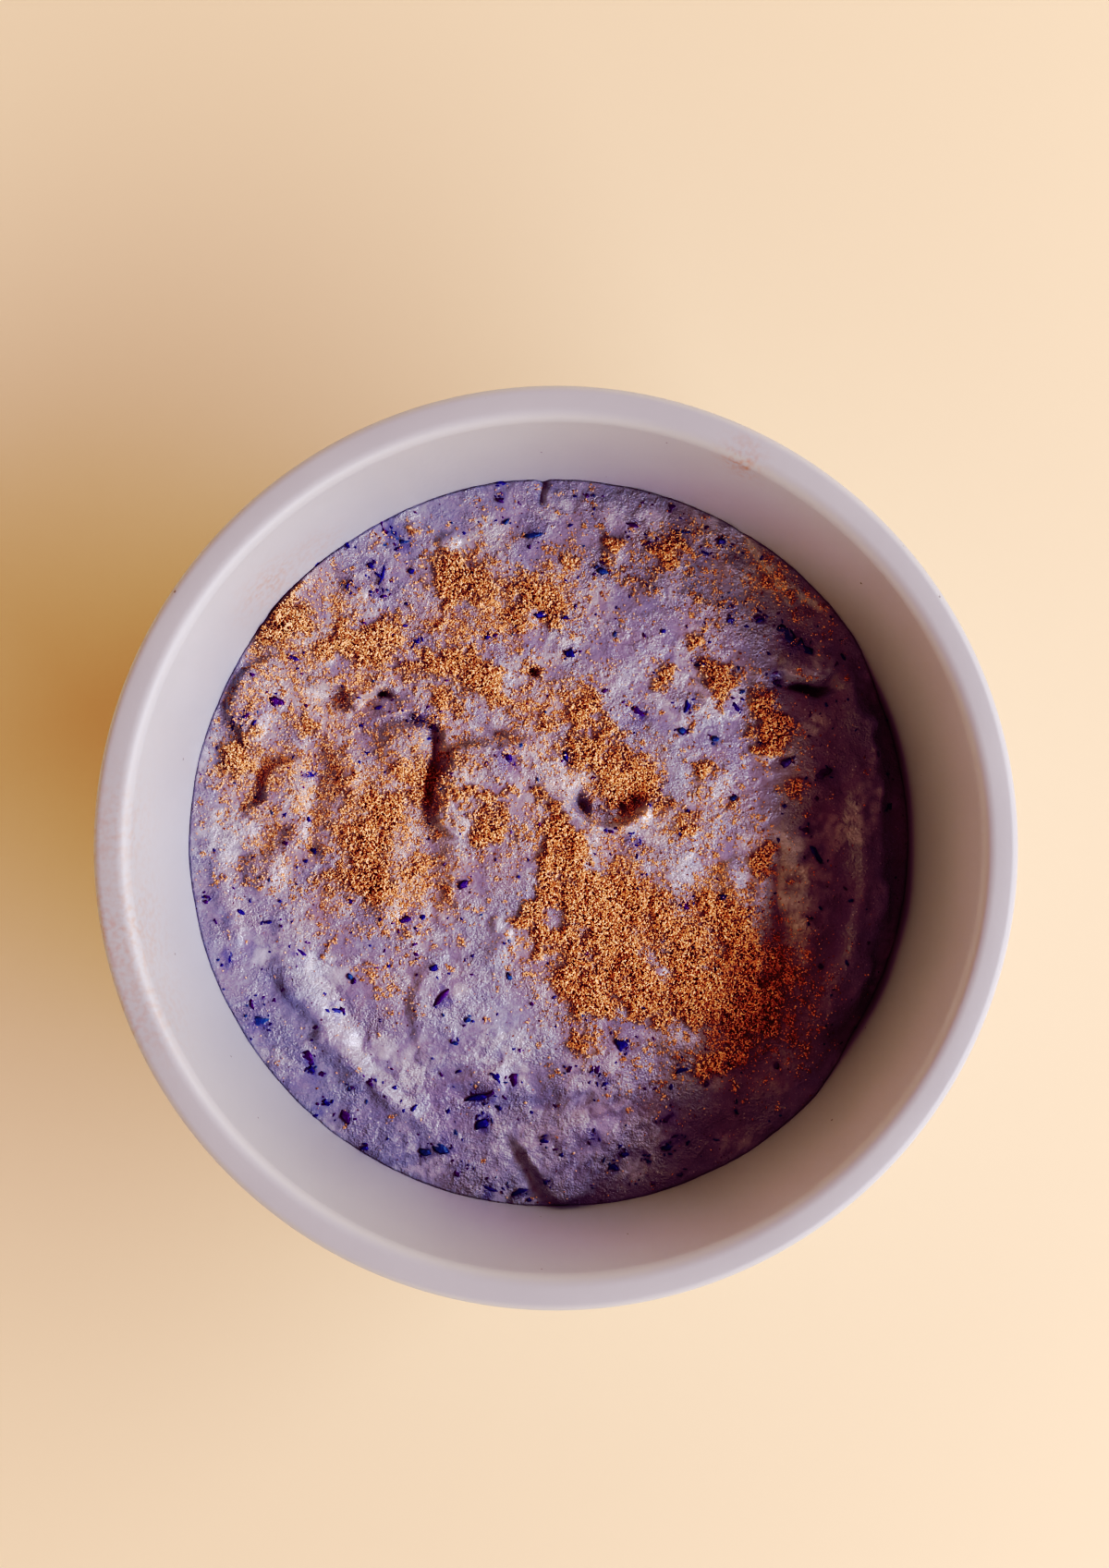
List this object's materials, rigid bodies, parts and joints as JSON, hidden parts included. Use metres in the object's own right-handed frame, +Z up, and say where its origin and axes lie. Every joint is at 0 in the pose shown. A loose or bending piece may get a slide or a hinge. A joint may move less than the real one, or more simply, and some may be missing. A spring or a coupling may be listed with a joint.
{
  "type": "bowl of buckwheat porridge",
  "caption": "Thick lilac buckwheat porridge with berry-skin scraps and a dusting of cinnamon, swirled with a spoon in a matte mauve-grey stoneware bowl.",
  "frame": {"origin": "centre of the foot ring, in the plane the bowl stands on", "axes": "+Z up through the bowl's mouth; +X towards the right of the picture, +Y towards its top"},
  "size_m": [0.154, 0.154, 0.068],
  "materials": {
    "bowl_glaze": "satin-matte mauve-grey stoneware glaze with tiny dark specks",
    "porridge": "moist, grainy lilac porridge, softly glossy, stained brown under the cinnamon",
    "berry_skin": "thin wet scraps of dark blue and purple berry skin",
    "cinnamon": "dry ground cinnamon, fine matte grains from orange-tan to dark brown"
  },
  "bodies": {
    "root": {"bowl": "bowl_glaze", "porridge": "porridge"}
  },
  "joints": []
}
